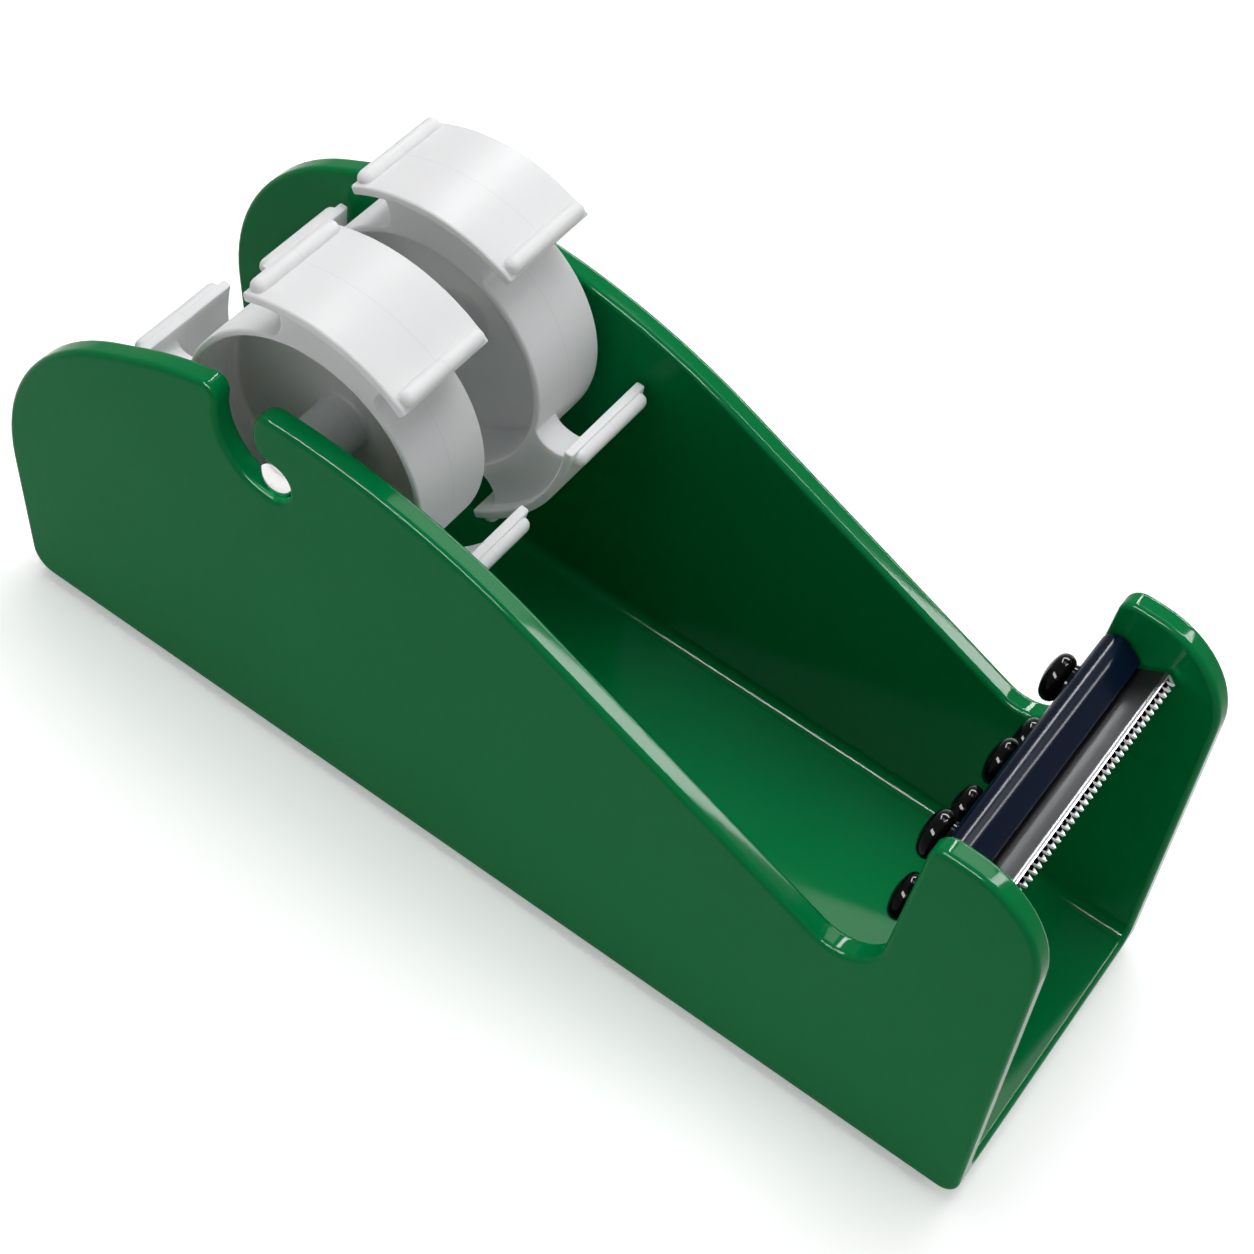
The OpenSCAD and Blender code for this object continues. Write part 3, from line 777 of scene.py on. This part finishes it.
# Lamps that show only as highlights and light no surface
HIGHLIGHTS = {
    "near_edges": lamp((-0.2, -0.62, 0.84), (0, 0, 0.06), (1.0, 0.24), 80.0),
    "far_edges": lamp((-0.05, 0.98, 0.56), (0, 0, 0.06), (1.0, 0.16), 30.0),
    "cross_bands": lamp((-0.4, 0.7, 0.88), (0, 0, 0.06), (0.12, 0.5), 20.0),
    "front_bands": lamp((0.48, 0.62, 0.86), (0.1, 0, 0.05), (0.12, 0.5), 14.0),
    "floor_glow": lamp((0.14, 0.68, 1.1), (0.06, -0.01, 0), (0.56, 0.24), 6.0),
}


def aimed(place, aim):
    """Rotation that points an object's -Z from its place to a point."""
    return (Vector(aim) - Vector(place)).to_track_quat("-Z", "Y")


def white_where_seen(tree, dim, bright=1.0):
    """Strength that is bright for rays that show a background, and dim for rays of plain light."""
    path = tree.nodes.new("ShaderNodeLightPath")
    seen = math_node(tree, "MAXIMUM", path.outputs["Is Camera Ray"], path.outputs["Is Glossy Ray"])
    seen = math_node(tree, "MAXIMUM", seen, path.outputs["Is Transmission Ray"])
    return math_node(tree, "MULTIPLY_ADD", seen, bright - dim, dim)


class DISPENSER_OT_stage(bpy.types.Operator):
    """Pale floor, soft light and the camera"""

    bl_idname = "dispenser.stage"
    bl_label = "Stage"

    def execute(self, context):
        _, _, studio = settings()
        scene = context.scene
        self.add_floor(scene)
        self.add_lights(scene)
        self.add_world(scene, studio)
        self.add_camera(scene, studio)
        scene.view_settings.view_transform = "Standard"
        return {"FINISHED"}

    def add_floor(self, scene):
        work = bmesh.new()
        bmesh.ops.create_grid(work, x_segments=1, y_segments=1, size=FLOOR_HALF)
        mesh = bpy.data.meshes.new("floor")
        work.to_mesh(mesh)
        work.free()
        material = bpy.data.materials.new("pale floor")
        material.use_nodes = True
        tree = material.node_tree
        shader = tree.nodes["Principled BSDF"]
        shader.inputs["Roughness"].default_value = 0.7
        shader.inputs["Specular IOR Level"].default_value = 0.1
        shader.inputs["Emission Color"].default_value = (1, 1, 1, 1)
        paper = tree.nodes.new("ShaderNodeCombineColor")
        grey = white_where_seen(tree, FLOOR_GREY)
        for socket in paper.inputs:
            tree.links.new(grey, socket)
        tree.links.new(paper.outputs["Color"], shader.inputs["Base Color"])
        glow = white_where_seen(tree, 0.0, FLOOR_GLOW)
        tree.links.new(glow, shader.inputs["Emission Strength"])
        mesh.materials.append(material)
        floor = bpy.data.objects.new("floor", mesh)
        scene.collection.objects.link(floor)

    def add_lights(self, scene):
        for name, given in {**LIGHTS, **HIGHLIGHTS}.items():
            data = bpy.data.lights.new(name, "AREA")
            data.shape = "RECTANGLE"
            data.size, data.size_y = given["sides"]
            data.energy = given["power"]
            light = bpy.data.objects.new(name, data)
            light.location = given["place"]
            light.rotation_euler = aimed(given["place"], given["aim"]).to_euler()
            light.visible_diffuse = name in LIGHTS
            light.visible_glossy = name in HIGHLIGHTS
            scene.collection.objects.link(light)

    def add_world(self, scene, studio):
        world = bpy.data.worlds.new("studio")
        world.use_nodes = True
        tree = world.node_tree
        tree.nodes["Background"].inputs["Color"].default_value = (1, 1, 1, 1)
        tree.links.new(white_where_seen(tree, studio.fill), tree.nodes["Background"].inputs["Strength"])
        scene.world = world

    def add_camera(self, scene, studio):
        data = bpy.data.cameras.new("camera")
        data.lens = studio.lens
        data.sensor_width = 36
        data.clip_start = 0.01
        camera = bpy.data.objects.new("camera", data)
        turn = aimed(studio.view_from, studio.view_at).to_matrix()
        roll = Matrix.Rotation(studio.view_roll, 3, "Z")
        camera.matrix_world = Matrix.Translation(studio.view_from) @ (turn @ roll).to_4x4()
        scene.collection.objects.link(camera)
        scene.camera = camera


class DISPENSER_PT_panel(bpy.types.Panel):
    """Lists the pieces of the dispenser"""

    bl_idname = "DISPENSER_PT_panel"
    bl_label = "Tape dispenser"
    bl_space_type = "VIEW_3D"
    bl_region_type = "UI"
    bl_category = "Dispenser"

    def draw(self, context):
        for group in settings():
            box = self.layout.box()
            for name in group.__annotations__:
                box.prop(group, name)
        for operator in OPERATORS:
            self.layout.operator(operator.bl_idname)


OPERATORS = (
    DISPENSER_OT_body,
    DISPENSER_OT_feet,
    DISPENSER_OT_axle,
    DISPENSER_OT_spacer,
    DISPENSER_OT_hubs,
    DISPENSER_OT_bracket,
    DISPENSER_OT_blade,
    DISPENSER_OT_screws,
    DISPENSER_OT_caps,
    DISPENSER_OT_stage,
)
CLASSES = (DispenserSizes, DispenserColours, DispenserStudio, *OPERATORS, DISPENSER_PT_panel)


def register():
    for cls in CLASSES:
        bpy.utils.register_class(cls)
    bpy.types.Scene.dispenser_sizes = bpy.props.PointerProperty(type=DispenserSizes)
    bpy.types.Scene.dispenser_colours = bpy.props.PointerProperty(type=DispenserColours)
    bpy.types.Scene.dispenser_studio = bpy.props.PointerProperty(type=DispenserStudio)


def unregister():
    del bpy.types.Scene.dispenser_studio
    del bpy.types.Scene.dispenser_colours
    del bpy.types.Scene.dispenser_sizes
    for cls in reversed(CLASSES):
        bpy.utils.unregister_class(cls)


def main():
    register()
    bpy.ops.dispenser.stage()
    bpy.ops.dispenser.body()
    bpy.ops.dispenser.feet()
    bpy.ops.dispenser.axle()
    bpy.ops.dispenser.spacer()
    bpy.ops.dispenser.hubs()
    bpy.ops.dispenser.bracket()
    bpy.ops.dispenser.blade()
    bpy.ops.dispenser.screws()
    bpy.ops.dispenser.caps()


if __name__ == "__main__":
    main()
